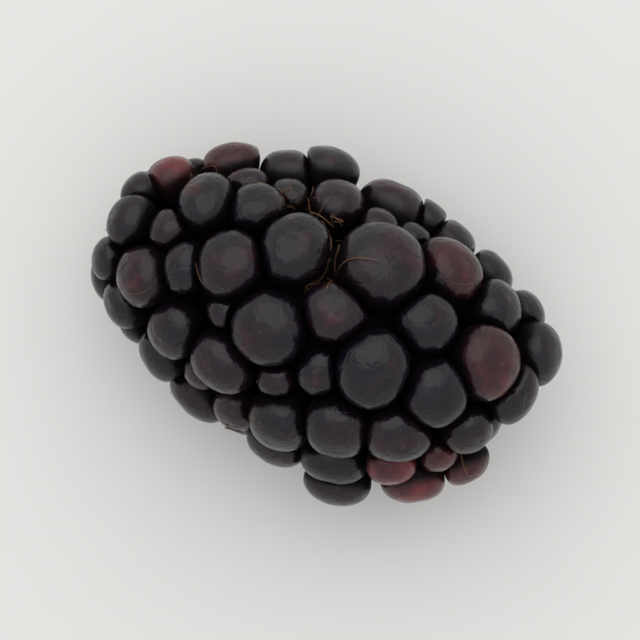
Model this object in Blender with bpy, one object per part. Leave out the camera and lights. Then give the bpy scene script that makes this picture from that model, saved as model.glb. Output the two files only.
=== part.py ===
"""Bramble berry, lying on its side as picked.

Two sub-parts, in metres, +Z up. +X runs along the berry from the stem end to the tip,
and the origin is at the middle of the footprint, on the surface the berry lies on.

    drupelets    the juicy beads, grown together into one fruit around a socket
    receptacle   the pale pith cone that the beads grew on, whose broken end shows in the
                 middle of the stem end

The beads sit on a centre surface, which is a blunt ellipsoid of revolution with its
underside pressed level by the berry's own weight. The beads of the upper side are set out
by hand. The rest nestle in beside them by rule, each in the tightest free place.
"""

import math

import bmesh
import bpy
import numpy as np
from mathutils import Matrix, Vector

MM = 0.001

# Centre surface: where the middles of the beads lie, around the berry's own axis. It is
# open at the stem end, where the receptacle shows.
STEM_POLE = -18.1 * MM
TIP_POLE = 15.2 * MM
STEM_LIMIT = -15.5 * MM
TIP_LIMIT = 14.4 * MM
TIP_SLANT = 0.3
TIP_PEAK_SIDE = 4.5 * MM
TIP_CUT_REACH = 1.5 * MM
STEM_BLUNTNESS = 1.75
TIP_BLUNTNESS = 2.1
WIDEST_PLACE = 1.0 * MM
WIDEST_RADIUS = 8.8 * MM
AXIS_TIP_SWING = 2.6 * MM
AXIS_SWING_START = 7.0 * MM
PRESSED_CENTRE_DEPTH = 7.9 * MM
REST_PLANE_DEPTH = 9.4 * MM

# Beads: a bead's outward half-size as a share of its mean half-size across, and how much
# wider a bead is than the part of it that stands clear of its neighbours.
BEAD_OUTWARD_SHARE = 0.85
BEAD_SWELL = 1.25
BEAD_RADIUS_SMALLEST = 1.6 * MM
BEAD_RADIUS_TYPICAL = 2.2 * MM
BEAD_RADIUS_SPREAD = 0.2 * MM
BEAD_RADIUS_STEP = 0.1 * MM
BEAD_OVERLAP = 0.8
BEAD_STRETCH = 0.09
BEAD_MESH_LEVEL = 2
AXIS_POINT_SHARE = 0.55
PLACES_TO_TRY = 9000
LAYOUT_SEED = 5

# Settling: the beads placed by rule push each other off to this share of touching.
SETTLE_ROUNDS = 60
SETTLE_REACH = 1.0
SETTLE_STEP = 0.2

# Core: the flesh behind the beads, a little deeper than their middles.
CORE_SUNK = 0.3 * MM
CORE_ALONG_STEPS = 22
CORE_AROUND_STEPS = 28
TRIANGLES_KEPT = 0.5

# Receptacle and the socket that it fills.
SOCKET_MOUTH = -16.0 * MM
SOCKET_RADIUS_AT_MOUTH = 2.75 * MM
SOCKET_RADIUS_AT_END = 1.2 * MM
SOCKET_LENGTH = 19.0 * MM
SOCKET_SIDES = 20
SOCKET_RUN_OUT = 3.0 * MM
RECEPTACLE_GAP = 0.3 * MM
RECEPTACLE_RECESS = 0.9 * MM
RECEPTACLE_CROWN = 0.5 * MM
STALK_SCAR_RADIUS = 0.95 * MM
STALK_SCAR_DEPTH = 0.45 * MM

SLAB_THICKNESS = 6.0 * MM
SLAB_HALF_SPAN = 30.0 * MM

SKIN_COLOUR = (0.022, 0.013, 0.020, 1.0)
SKIN_ROUGHNESS = 0.3
PITH_COLOUR = (0.62, 0.44, 0.20, 1.0)
PITH_ROUGHNESS = 0.75

# Beads of the upper side, in millimetres: place along the berry, place across it (positive
# to the left of someone looking from the stem end to the tip), size along and size across.
UPPER_BEADS = (
    # stem end
    (-14.6, 4.2, 3.4, 3.6),
    (-16.1, 2.6, 2.6, 3.0),
    (-15.7, 0.4, 3.2, 3.6),
    (-15.9, -2.6, 2.8, 3.0),
    (-13.0, 1.0, 2.6, 2.8),
    (-11.3, 3.7, 3.8, 4.5),
    (-11.0, 7.0, 4.2, 3.6),
    (-13.0, -2.5, 4.3, 4.0),
    (-10.7, -0.8, 3.2, 3.4),
    (-13.6, -4.7, 3.6, 3.4),
    # shoulder
    (-7.0, 8.0, 4.8, 4.2),
    (-4.8, 9.5, 4.4, 4.2),
    (-8.0, 4.9, 3.8, 3.7),
    (-3.1, 7.7, 3.7, 4.0),
    (-7.8, 0.7, 4.7, 4.6),
    (-4.3, 3.4, 4.7, 5.1),
    (-9.4, -4.9, 4.0, 4.0),
    (-9.4, -6.8, 4.2, 3.6),
    (-3.5, -2.0, 5.3, 4.9),
    (-5.4, -5.4, 4.9, 3.8),
    (-6.0, -8.0, 4.9, 3.8),
    (-6.8, -2.4, 2.4, 2.2),
    # middle
    (0.7, 8.8, 5.6, 4.8),
    (1.7, 5.0, 6.0, 5.8),
    (0.1, 0.8, 4.4, 3.8),
    (3.0, 9.4, 3.8, 3.6),
    (5.3, 8.6, 4.2, 4.0),
    (6.0, 6.7, 5.2, 4.4),
    (4.2, -1.4, 5.0, 5.4),
    (1.0, -3.2, 2.9, 3.2),
    (0.1, -7.3, 4.4, 4.5),
    (3.8, -5.9, 4.7, 4.4),
    (0.6, -8.9, 4.4, 3.6),
    (4.7, -8.2, 4.6, 3.6),
    (5.6, -9.6, 4.4, 3.8),
    (-1.6, -5.0, 2.6, 2.4),
    # tip end
    (8.8, 7.9, 3.8, 3.8),
    (6.2, 2.9, 4.3, 4.1),
    (10.1, 5.9, 3.9, 4.1),
    (11.0, 2.3, 5.0, 4.9),
    (8.8, -1.0, 4.5, 4.6),
    (7.6, -4.6, 4.8, 3.9),
    (14.2, 4.5, 4.1, 4.0),
    (13.7, 1.4, 3.4, 4.4),
    (12.1, -2.3, 3.3, 3.5),
    (10.3, -6.9, 4.6, 4.2),
    (12.9, -4.6, 3.6, 3.8),
)


def clear_scene():
    """Take every object out of the scene."""
    for thing in list(bpy.data.objects):
        bpy.data.objects.remove(thing, do_unlink=True)


def finish(name, colour, roughness):
    """A Principled material of one colour and roughness, not metallic."""
    material = bpy.data.materials.new(name)
    material.use_nodes = True
    shader = material.node_tree.nodes["Principled BSDF"]
    shader.inputs["Base Color"].default_value = colour
    shader.inputs["Roughness"].default_value = roughness
    shader.inputs["Metallic"].default_value = 0.0
    return material


def object_from(bm, name, material=None):
    """Put a bmesh into the scene as an object shaded smooth."""
    mesh = bpy.data.meshes.new(name)
    bm.to_mesh(mesh)
    bm.free()
    mesh.shade_smooth()
    thing = bpy.data.objects.new(name, mesh)
    bpy.context.scene.collection.objects.link(thing)
    if material is not None:
        mesh.materials.append(material)
    return thing


def axis_offset(along):
    """How far the berry's axis has swung sideways at a place along it."""
    share = np.clip((along - AXIS_SWING_START) / (TIP_POLE - AXIS_SWING_START), 0.0, 1.0)
    return AXIS_TIP_SWING * share * share


def surface_radius(along):
    """Centre surface's radius around the axis: an egg of two blunt half ellipses."""
    tipward = along > WIDEST_PLACE
    reach = np.where(tipward, TIP_POLE - WIDEST_PLACE, WIDEST_PLACE - STEM_POLE)
    power = np.where(tipward, TIP_BLUNTNESS, STEM_BLUNTNESS)
    share = np.clip(np.abs(along - WIDEST_PLACE) / reach, 0.0, 1.0)
    return WIDEST_RADIUS * (1.0 - share**power) ** (1.0 / power)


def onto_surface(points):
    """Points brought to the centre surface, cut off aslant at the tip and pressed level below."""
    limit = TIP_LIMIT - TIP_SLANT * np.clip(TIP_PEAK_SIDE - points[:, 1], 0.0, None)
    spoke = np.hypot(points[:, 1] - axis_offset(limit), points[:, 2])
    on_cut = (points[:, 0] > limit - TIP_CUT_REACH) & (spoke < surface_radius(limit))
    along = np.where(on_cut, limit, np.clip(points[:, 0], STEM_LIMIT, limit))
    radius = np.where(on_cut, spoke, surface_radius(along))
    angle = np.arctan2(points[:, 2], points[:, 1] - axis_offset(along))
    height = np.maximum(radius * np.sin(angle), -PRESSED_CENTRE_DEPTH)
    return np.stack([along, radius * np.cos(angle) + axis_offset(along), height], axis=1)


def upper_sites():
    """Middles and half-sizes of the beads set out by hand, raised onto the centre surface."""
    rows = np.array(UPPER_BEADS) * MM
    along, across = rows[:, 0], rows[:, 1]
    side = across - axis_offset(along)
    height = np.sqrt(np.maximum(surface_radius(along) ** 2 - side**2, 0.0))
    middles = np.stack([along, across, height], axis=1)
    return middles, rows[:, 2:4] / 2.0 * BEAD_SWELL


def places_to_try():
    """Points spread over the centre surface by the golden angle."""
    step = np.arange(PLACES_TO_TRY)
    along = STEM_LIMIT + (TIP_POLE - STEM_LIMIT) * (step + 0.5) / PLACES_TO_TRY
    turn = step * math.pi * (3.0 - math.sqrt(5.0))
    radius = surface_radius(along)
    points = np.stack([along, radius * np.cos(turn) + axis_offset(along), radius * np.sin(turn)], axis=1)
    return onto_surface(points)


def bead_layout():
    """Every bead's middle and its two half-sizes, along the berry and around it.

    Each next bead is of a typical size and goes to the free place whose three nearest
    neighbours are closest. When nothing of its size fits, the size is stepped down, and
    the layout is full when not even the smallest fits.
    """
    chance = np.random.default_rng(LAYOUT_SEED)
    middles, half_sizes = upper_sites()
    places = places_to_try()
    limit = BEAD_RADIUS_TYPICAL + BEAD_RADIUS_SPREAD
    while limit >= BEAD_RADIUS_SMALLEST:
        wanted = limit - chance.random() * BEAD_RADIUS_SPREAD * 2.0
        radii = half_sizes.mean(axis=1)
        spans = np.linalg.norm(places[:, None, :] - middles[None, :, :], axis=2)
        rooms = spans - radii[None, :] * BEAD_OVERLAP
        free = rooms.min(axis=1) >= wanted * BEAD_OVERLAP
        if not free.any():
            limit -= BEAD_RADIUS_STEP
            continue
        snugness = np.sort(rooms, axis=1)[:, :3].sum(axis=1)
        best = int(np.argmin(np.where(free, snugness, np.inf)))
        stretch = 1.0 + (chance.random() - 0.5) * 2.0 * BEAD_STRETCH
        middles = np.vstack([middles, places[best]])
        half_sizes = np.vstack([half_sizes, [wanted * stretch, wanted / stretch]])
    return spread_out(middles, half_sizes.mean(axis=1)), half_sizes


def spread_out(middles, radii):
    """Let the beads placed by rule push off all neighbours that are closer than touching."""
    settled = middles.copy()
    touching = (radii[:, None] + radii[None, :]) * SETTLE_REACH
    for _ in range(SETTLE_ROUNDS):
        apart = settled[:, None, :] - settled[None, :, :]
        spans = np.linalg.norm(apart, axis=2) + np.eye(len(settled))
        push = np.clip(touching - spans, 0.0, None) * (1.0 - np.eye(len(settled)))
        moves = (apart / spans[:, :, None] * push[:, :, None]).sum(axis=1) * SETTLE_STEP
        settled[len(UPPER_BEADS):] += moves[len(UPPER_BEADS):]
        settled[len(UPPER_BEADS):] = onto_surface(settled[len(UPPER_BEADS):])
    return settled


def outward_frame(middle):
    """Bead axes as columns: along the berry, around it, and outward from its axis."""
    axis_point = Vector((middle.x * AXIS_POINT_SHARE, float(axis_offset(middle.x)), 0.0))
    outward = (middle - axis_point).normalized()
    along = Vector((1.0, 0.0, 0.0))
    along = (along - outward * along.dot(outward)).normalized()
    around = outward.cross(along)
    return Matrix((along, around, outward)).transposed().to_4x4()


def add_bead(bm, middle, half_sizes, tumble):
    """Add one bead: an icosphere stretched along, around and outward."""
    outward_size = float(half_sizes.mean()) * BEAD_OUTWARD_SHARE
    stretch = Matrix.Diagonal((half_sizes[0], half_sizes[1], outward_size, 1.0))
    spot = Vector(middle)
    place = Matrix.Translation(spot) @ outward_frame(spot) @ stretch @ tumble
    bmesh.ops.create_icosphere(bm, subdivisions=BEAD_MESH_LEVEL, radius=1.0, matrix=place)


def bead_cluster(middles, half_sizes):
    """All beads as overlapping balls in one mesh, before they are joined."""
    bm = bmesh.new()
    chance = np.random.default_rng(LAYOUT_SEED)
    for middle, halves in zip(middles, half_sizes):
        turns = chance.random(2) * math.tau
        tumble = Matrix.Rotation(turns[0], 4, "X") @ Matrix.Rotation(turns[1], 4, "Z")
        add_bead(bm, middle, halves, tumble)
    return bm


def core_mesh():
    """The flesh behind the beads: the centre surface made a closed body."""
    bm = bmesh.new()
    middle = (TIP_LIMIT + STEM_LIMIT) / 2.0
    reach = (TIP_LIMIT - STEM_LIMIT) / 2.0
    rings = []
    for step in range(CORE_ALONG_STEPS + 1):
        along = middle - reach * math.cos(math.pi * step / CORE_ALONG_STEPS)
        radius = float(surface_radius(along)) - CORE_SUNK
        side = float(axis_offset(along))
        ring = []
        for turn in range(CORE_AROUND_STEPS):
            angle = math.tau * turn / CORE_AROUND_STEPS
            height = max(radius * math.sin(angle), -PRESSED_CENTRE_DEPTH + CORE_SUNK)
            ring.append(bm.verts.new((along, side + radius * math.cos(angle), height)))
        rings.append(ring)
    for lower, upper in zip(rings, rings[1:]):
        for turn in range(CORE_AROUND_STEPS):
            after = (turn + 1) % CORE_AROUND_STEPS
            bm.faces.new((lower[turn], lower[after], upper[after], upper[turn]))
    bm.faces.new(list(reversed(rings[0])))
    bm.faces.new(rings[-1])
    bmesh.ops.recalc_face_normals(bm, faces=bm.faces)
    return bm


def turned_mesh(profile, sides):
    """Turn a profile of (along, radius) points about the berry's axis into a closed body."""
    bm = bmesh.new()
    rings = []
    for along, radius in profile:
        ring = []
        for turn in range(sides):
            angle = math.tau * turn / sides
            ring.append(bm.verts.new((along, radius * math.cos(angle), radius * math.sin(angle))))
        rings.append(ring)
    for lower, upper in zip(rings, rings[1:]):
        for turn in range(sides):
            after = (turn + 1) % sides
            bm.faces.new((lower[turn], lower[after], upper[after], upper[turn]))
    bm.faces.new(list(reversed(rings[0])))
    bm.faces.new(rings[-1])
    bmesh.ops.recalc_face_normals(bm, faces=bm.faces)
    return bm


def socket_profile(inset, start):
    """Profile of the tapering socket, shrunk all round by an inset, from a starting place."""
    end = SOCKET_MOUTH + SOCKET_LENGTH - inset
    slope = (SOCKET_RADIUS_AT_END - SOCKET_RADIUS_AT_MOUTH) / SOCKET_LENGTH
    start_radius = SOCKET_RADIUS_AT_MOUTH + slope * max(start - SOCKET_MOUTH, 0.0) - inset
    return [(start, start_radius), (end, SOCKET_RADIUS_AT_END - inset)]


def receptacle_mesh():
    """The pith cone, with a crowned broken end and the stalk's scar sunk in its middle."""
    rim = SOCKET_MOUTH + RECEPTACLE_RECESS
    cone = socket_profile(RECEPTACLE_GAP, rim)
    crown = rim - RECEPTACLE_CROWN
    end_radius = cone[0][1]
    face = [
        (crown + STALK_SCAR_DEPTH, STALK_SCAR_RADIUS * 0.55),
        (crown, STALK_SCAR_RADIUS),
        (crown, end_radius * 0.72),
        (rim - RECEPTACLE_CROWN * 0.4, end_radius * 0.92),
    ]
    return turned_mesh(face + cone, SOCKET_SIDES)


def floor_slab():
    """A slab whose top is the surface that the berry lies on."""
    bm = bmesh.new()
    size = Matrix.Diagonal((SLAB_HALF_SPAN * 2.0, SLAB_HALF_SPAN * 2.0, SLAB_THICKNESS, 1.0))
    lower = Matrix.Translation((0.0, 0.0, -REST_PLANE_DEPTH - SLAB_THICKNESS / 2.0))
    bmesh.ops.create_cube(bm, size=1.0, matrix=lower @ size)
    return bm


def as_tool(bm, name):
    """A body that only shapes others, kept out of the build."""
    tool = object_from(bm, name)
    tool.hide_render = True
    tool.display_type = "WIRE"
    return tool


def shape_with(thing, tool, operation):
    """Join a tool to an object, or cut it away, with an exact Boolean."""
    modifier = thing.modifiers.new(tool.name, "BOOLEAN")
    modifier.operation = operation
    modifier.solver = "EXACT"
    modifier.use_self = operation == "UNION"
    modifier.object = tool


def thin_out(thing):
    """Thin out the triangles that the join has made along the creases."""
    modifier = thing.modifiers.new("thin_out", "DECIMATE")
    modifier.decimate_type = "COLLAPSE"
    modifier.ratio = TRIANGLES_KEPT


def settle(things, measured):
    """Move the objects so that the measured one's footprint is centred and it lies at z = 0."""
    graph = bpy.context.evaluated_depsgraph_get()
    mesh = measured.evaluated_get(graph).to_mesh()
    corners = np.empty(len(mesh.vertices) * 3, dtype=np.float32)
    mesh.vertices.foreach_get("co", corners)
    corners = corners.reshape(-1, 3).astype(np.float64)
    measured.evaluated_get(graph).to_mesh_clear()
    middle = (corners.min(axis=0) + corners.max(axis=0)) / 2.0
    for thing in things:
        thing.location = (-middle[0], -middle[1], REST_PLANE_DEPTH)


def build():
    """Make the two sub-parts and their materials."""
    clear_scene()
    skin = finish("drupelet_skin", SKIN_COLOUR, SKIN_ROUGHNESS)
    pith = finish("receptacle_pith", PITH_COLOUR, PITH_ROUGHNESS)

    middles, half_sizes = bead_layout()
    drupelets = object_from(core_mesh(), "drupelets", skin)
    beads = as_tool(bead_cluster(middles, half_sizes), "bead_balls")
    mouth = socket_profile(0.0, SOCKET_MOUTH - SOCKET_RUN_OUT)
    socket = as_tool(turned_mesh(mouth, SOCKET_SIDES), "receptacle_socket")
    slab = as_tool(floor_slab(), "resting_surface")
    shape_with(drupelets, beads, "UNION")
    thin_out(drupelets)
    shape_with(drupelets, socket, "DIFFERENCE")
    shape_with(drupelets, slab, "DIFFERENCE")

    receptacle = object_from(receptacle_mesh(), "receptacle", pith)
    settle((drupelets, beads, socket, slab, receptacle), drupelets)


build()
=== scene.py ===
"""Finished look of a ripe bramble berry lying on a pale table.

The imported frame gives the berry's place and size. Here every drupelet becomes a bead of its
own, pressed against its neighbours, on a dark flesh that shows only in the creases. The pith
of the receptacle shows at the stem end, and dried styles are left in the creases.

Lengths are in metres. Berry space has its origin on the berry's own axis, +X from the stem
end to the tip and +Z up; the finished pieces are moved from there into the frame's space.
"""
import logging
import math
from dataclasses import dataclass, field
from enum import Enum

import bpy
import numpy as np
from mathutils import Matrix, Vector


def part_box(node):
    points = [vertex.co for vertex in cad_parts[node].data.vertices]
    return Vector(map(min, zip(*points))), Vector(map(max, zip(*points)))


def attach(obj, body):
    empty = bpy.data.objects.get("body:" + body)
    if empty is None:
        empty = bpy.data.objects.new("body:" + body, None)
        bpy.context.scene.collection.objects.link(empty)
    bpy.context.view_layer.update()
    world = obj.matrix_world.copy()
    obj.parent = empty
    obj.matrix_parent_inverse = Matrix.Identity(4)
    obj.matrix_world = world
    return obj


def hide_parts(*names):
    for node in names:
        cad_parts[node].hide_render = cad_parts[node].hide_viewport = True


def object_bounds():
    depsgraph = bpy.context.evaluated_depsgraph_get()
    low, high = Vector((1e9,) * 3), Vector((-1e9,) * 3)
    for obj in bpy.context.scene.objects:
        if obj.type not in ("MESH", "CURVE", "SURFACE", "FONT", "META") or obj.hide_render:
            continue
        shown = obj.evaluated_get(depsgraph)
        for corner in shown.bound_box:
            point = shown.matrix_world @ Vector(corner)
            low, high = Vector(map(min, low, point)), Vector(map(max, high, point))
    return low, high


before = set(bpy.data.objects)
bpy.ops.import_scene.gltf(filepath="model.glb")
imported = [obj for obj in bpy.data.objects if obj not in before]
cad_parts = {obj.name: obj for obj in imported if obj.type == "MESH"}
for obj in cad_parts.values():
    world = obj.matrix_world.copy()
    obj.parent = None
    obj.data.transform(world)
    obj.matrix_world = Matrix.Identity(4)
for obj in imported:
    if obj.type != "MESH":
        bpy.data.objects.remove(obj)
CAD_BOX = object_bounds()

MM = 0.001
FLOOR_GAP = 0.03 * MM
BODY = "root"
log = logging.getLogger("bramble_berry")

Array = np.ndarray
Colour = tuple[float, float, float, float]


class Ripeness(Enum):
    """How far a bead is from ripe: 0 is black and 1 is red."""

    BLACK = 0.0
    DUSKY = 0.12
    FLUSHED = 0.4
    WINE = 0.7
    RED = 1.0


BLACK, DUSKY, FLUSHED, WINE, RED = Ripeness

# Beads of the upper side, in millimetres: place along the berry, place across it (positive
# to the left of someone looking from the stem end to the tip), size along, size across, and
# ripeness. The rest of the beads are placed by rule.
UPPER_BEADS = (
    # stem end
    (-14.6, 4.2, 3.4, 3.6, RED),
    (-16.1, 2.6, 2.6, 3.0, BLACK),
    (-15.7, 0.4, 3.2, 3.6, BLACK),
    (-15.9, -2.6, 2.8, 3.0, BLACK),
    (-13.0, 1.0, 2.6, 2.8, BLACK),
    (-11.3, 3.7, 3.8, 4.5, BLACK),
    (-11.0, 7.0, 4.2, 3.6, WINE),
    (-13.0, -2.5, 4.3, 4.0, DUSKY),
    (-10.7, -0.8, 3.2, 3.4, BLACK),
    (-13.6, -4.7, 3.6, 3.4, BLACK),
    # shoulder
    (-7.0, 8.0, 4.8, 4.2, BLACK),
    (-4.8, 9.5, 4.4, 4.2, DUSKY),
    (-8.0, 4.9, 3.8, 3.7, BLACK),
    (-3.1, 7.7, 3.7, 4.0, DUSKY),
    (-7.8, 0.7, 4.7, 4.6, DUSKY),
    (-4.3, 3.4, 4.7, 5.1, BLACK),
    (-9.4, -4.9, 4.0, 4.0, BLACK),
    (-9.4, -6.8, 4.2, 3.6, BLACK),
    (-3.5, -2.0, 5.3, 4.9, DUSKY),
    (-5.4, -5.4, 4.9, 3.8, BLACK),
    (-6.0, -8.0, 4.9, 3.8, BLACK),
    (-6.8, -2.4, 2.4, 2.2, BLACK),
    # middle
    (0.7, 8.8, 5.6, 4.8, DUSKY),
    (1.7, 5.0, 6.0, 5.8, DUSKY),
    (0.1, 0.8, 4.4, 3.8, BLACK),
    (3.0, 9.4, 3.8, 3.6, BLACK),
    (5.3, 8.6, 4.2, 4.0, DUSKY),
    (6.0, 6.7, 5.2, 4.4, FLUSHED),
    (4.2, -1.4, 5.0, 5.4, BLACK),
    (1.0, -3.2, 2.9, 3.2, BLACK),
    (0.1, -7.3, 4.4, 4.5, BLACK),
    (3.8, -5.9, 4.7, 4.4, BLACK),
    (0.6, -8.9, 4.4, 3.6, BLACK),
    (4.7, -8.2, 4.6, 3.6, BLACK),
    (5.6, -9.6, 4.4, 3.8, BLACK),
    (-1.6, -5.0, 2.6, 2.4, BLACK),
    # tip end
    (8.8, 7.9, 3.8, 3.8, DUSKY),
    (6.2, 2.9, 4.3, 4.1, BLACK),
    (10.1, 5.9, 3.9, 4.1, BLACK),
    (11.0, 2.3, 5.0, 4.9, FLUSHED),
    (8.8, -1.0, 4.5, 4.6, BLACK),
    (7.6, -4.6, 4.8, 3.9, DUSKY),
    (14.2, 4.5, 4.1, 4.0, BLACK),
    (13.7, 1.4, 3.4, 4.4, BLACK),
    (12.1, -2.3, 3.3, 3.5, BLACK),
    (10.3, -6.9, 4.6, 4.2, RED),
    (12.9, -4.6, 3.6, 3.8, WINE),
)

# Beads placed by rule on the upper side that are still red, in millimetres: place along,
# place across, and ripeness.
LATE_BEADS = (
    (8.4, -6.8, RED),
    (11.1, -4.8, WINE),
)

# Places on the upper side where shreds of dried styles and sepals have stained the creases,
# in millimetres: along, across, and how far the stain reaches.
DRY_SPOTS = (
    (-6.2, 6.4, 1.5),
    (-1.3, 3.4, 1.1),
    (-2.2, 6.0, 0.8),
    (-2.6, -8.3, 1.3),
    (12.3, -4.0, 1.2),
    (-12.6, 4.6, 0.7),
)


@dataclass(frozen=True)
class CentreSurface:
    """The egg that the beads' middles lie on, open at the stem end and pressed level below."""

    stem_pole: float = -18.1 * MM
    tip_pole: float = 15.2 * MM
    stem_limit: float = -15.5 * MM
    tip_limit: float = 14.4 * MM
    tip_slant: float = 0.3
    tip_peak_side: float = 4.5 * MM
    tip_cut_reach: float = 1.5 * MM
    stem_bluntness: float = 1.75
    tip_bluntness: float = 2.1
    widest_place: float = 1.0 * MM
    widest_radius: float = 8.8 * MM
    axis_tip_swing: float = 2.6 * MM
    axis_swing_start: float = 7.0 * MM
    pressed_depth: float = 7.9 * MM
    rest_depth: float = 9.4 * MM
    places_to_try: int = 9000

    def axis_offset(self, along: Array) -> Array:
        """Sideways swing of the axis: the square of the share of the way from a start to the tip.

        Args:
            along: Places along the berry.

        Returns:
            The axis's place across the berry at each of them.
        """
        reach = self.tip_pole - self.axis_swing_start
        share = np.clip((along - self.axis_swing_start) / reach, 0.0, 1.0)
        return self.axis_tip_swing * share * share

    def radius(self, along: Array) -> Array:
        """Radius round the axis: (1 - share^n)^(1/n) of the widest, with n for each half.

        Args:
            along: Places along the berry.

        Returns:
            The surface's radius at each of them.
        """
        tipward = along > self.widest_place
        reach = np.where(tipward, self.tip_pole - self.widest_place, self.widest_place - self.stem_pole)
        power = np.where(tipward, self.tip_bluntness, self.stem_bluntness)
        share = np.clip(np.abs(along - self.widest_place) / reach, 0.0, 1.0)
        return self.widest_radius * (1.0 - share**power) ** (1.0 / power)

    def onto(self, points: Array) -> Array:
        """Bring points to the surface, blunt at the tip and pressed level underneath.

        Args:
            points: Places in berry space, one to a row.

        Returns:
            The same points moved straight towards or away from the axis.
        """
        slant = self.tip_slant * np.clip(self.tip_peak_side - points[:, 1], 0.0, None)
        limit = self.tip_limit - slant
        spoke = np.hypot(points[:, 1] - self.axis_offset(limit), points[:, 2])
        on_cut = (points[:, 0] > limit - self.tip_cut_reach) & (spoke < self.radius(limit))
        along = np.where(on_cut, limit, np.clip(points[:, 0], self.stem_limit, limit))
        radius = np.where(on_cut, spoke, self.radius(along))
        angle = np.arctan2(points[:, 2], points[:, 1] - self.axis_offset(along))
        height = np.maximum(radius * np.sin(angle), -self.pressed_depth)
        return np.stack([along, radius * np.cos(angle) + self.axis_offset(along), height], axis=1)

    def raised(self, along: Array, across: Array) -> Array:
        """Raise places seen from above onto the upper half of the surface.

        Args:
            along: Places along the berry.
            across: Places across it.

        Returns:
            Points with height sqrt(radius^2 - side^2), or level with the axis outside it.
        """
        side = across - self.axis_offset(along)
        height = np.sqrt(np.maximum(self.radius(along) ** 2 - side**2, 0.0))
        return np.stack([along, across, height], axis=1)

    def free_places(self) -> Array:
        """Points wound round the surface by the golden angle, evenly stepped along it.

        Returns:
            Places in berry space, one to a row.
        """
        step = np.arange(self.places_to_try)
        along = self.stem_limit + (self.tip_pole - self.stem_limit) * (step + 0.5) / self.places_to_try
        turn = step * math.pi * (3.0 - math.sqrt(5.0))
        radius = self.radius(along)
        across = radius * np.cos(turn) + self.axis_offset(along)
        return self.onto(np.stack([along, across, radius * np.sin(turn)], axis=1))


@dataclass(frozen=True)
class BeadLayout:
    """Where the beads sit: those of the upper side as listed, the rest nestled in by rule."""

    surface: CentreSurface
    swell: float = 1.25
    smallest: float = 1.6 * MM
    typical: float = 2.2 * MM
    spread: float = 0.2 * MM
    step: float = 0.1 * MM
    overlap: float = 0.8
    stretch: float = 0.09
    settle_rounds: int = 60
    settle_step: float = 0.2
    seed: int = 5

    def place(self) -> tuple[Array, Array]:
        """Place every bead.

        Each next bead is of a typical size and goes to the free place whose three nearest
        neighbours are closest. When none of its size fits, the size is stepped down.

        Returns:
            The beads' middles, and their half-sizes along the berry and around it.
        """
        chance = np.random.default_rng(self.seed)
        rows = np.array([row[:4] for row in UPPER_BEADS]) * MM
        middles = self.surface.raised(rows[:, 0], rows[:, 1])
        halves = rows[:, 2:4] / 2.0 * self.swell
        places = self.surface.free_places()
        limit = self.typical + self.spread
        while limit >= self.smallest:
            wanted = limit - chance.random() * self.spread * 2.0
            radii = halves.mean(axis=1)
            spans = np.linalg.norm(places[:, None, :] - middles[None, :, :], axis=2)
            rooms = spans - radii[None, :] * self.overlap
            free = rooms.min(axis=1) >= wanted * self.overlap
            if not free.any():
                limit -= self.step
                continue
            snugness = np.sort(rooms, axis=1)[:, :3].sum(axis=1)
            best = int(np.argmin(np.where(free, snugness, np.inf)))
            stretch = 1.0 + (chance.random() - 0.5) * 2.0 * self.stretch
            middles = np.vstack([middles, places[best]])
            halves = np.vstack([halves, [wanted * stretch, wanted / stretch]])
        return self.spread_out(middles, halves.mean(axis=1)), halves

    def spread_out(self, middles: Array, radii: Array) -> Array:
        """Let the beads placed by rule push off all that are closer than touching.

        Args:
            middles: The beads' middles.
            radii: Their mean half-sizes.

        Returns:
            The settled middles; those listed in UPPER_BEADS have not moved.
        """
        settled = middles.copy()
        first = len(UPPER_BEADS)
        touching = radii[:, None] + radii[None, :]
        for _ in range(self.settle_rounds):
            apart = settled[:, None, :] - settled[None, :, :]
            spans = np.linalg.norm(apart, axis=2) + np.eye(len(settled))
            push = np.clip(touching - spans, 0.0, None) * (1.0 - np.eye(len(settled)))
            moves = (apart / spans[:, :, None] * push[:, :, None]).sum(axis=1) * self.settle_step
            settled[first:] = self.surface.onto(settled[first:] + moves[first:])
        return settled


def unit(vectors: Array) -> Array:
    """Vectors divided by their own lengths."""
    return vectors / np.maximum(np.linalg.norm(vectors, axis=-1, keepdims=True), 1e-12)


def ball_grid(steps: int) -> tuple[Array, Array]:
    """Unit directions and quads of a ball without poles.

    Six square grids, one to each face of a cube, are bent by the tangent so that their
    cells come out even, pushed out to the unit ball, and joined along their shared edges.

    Args:
        steps: Cells along a grid's side.

    Returns:
        Directions, one to a row, and quads of row numbers with outward normals.
    """
    even = np.tan((np.arange(steps + 1) / steps - 0.5) * math.pi / 2.0)
    first, second = np.meshgrid(even, even, indexing="ij")
    ones = np.ones_like(first)
    sheets, quads = [], []
    corner = np.arange((steps + 1) ** 2).reshape(steps + 1, steps + 1)
    square = np.stack([corner[:-1, :-1], corner[1:, :-1], corner[1:, 1:], corner[:-1, 1:]], axis=-1)
    square = square.reshape(-1, 4)
    for axis in range(3):
        for sign in (1.0, -1.0):
            sheet = np.stack([ones * sign, first * sign, second], axis=-1).reshape(-1, 3)
            sheets.append(np.roll(sheet, axis, axis=1))
            quads.append(square + corner.size * len(quads))
    directions = unit(np.concatenate(sheets))
    _, keep, joined = np.unique(np.round(directions, 6), axis=0, return_index=True, return_inverse=True)
    return directions[keep], joined.reshape(-1)[np.concatenate(quads)]


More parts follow.
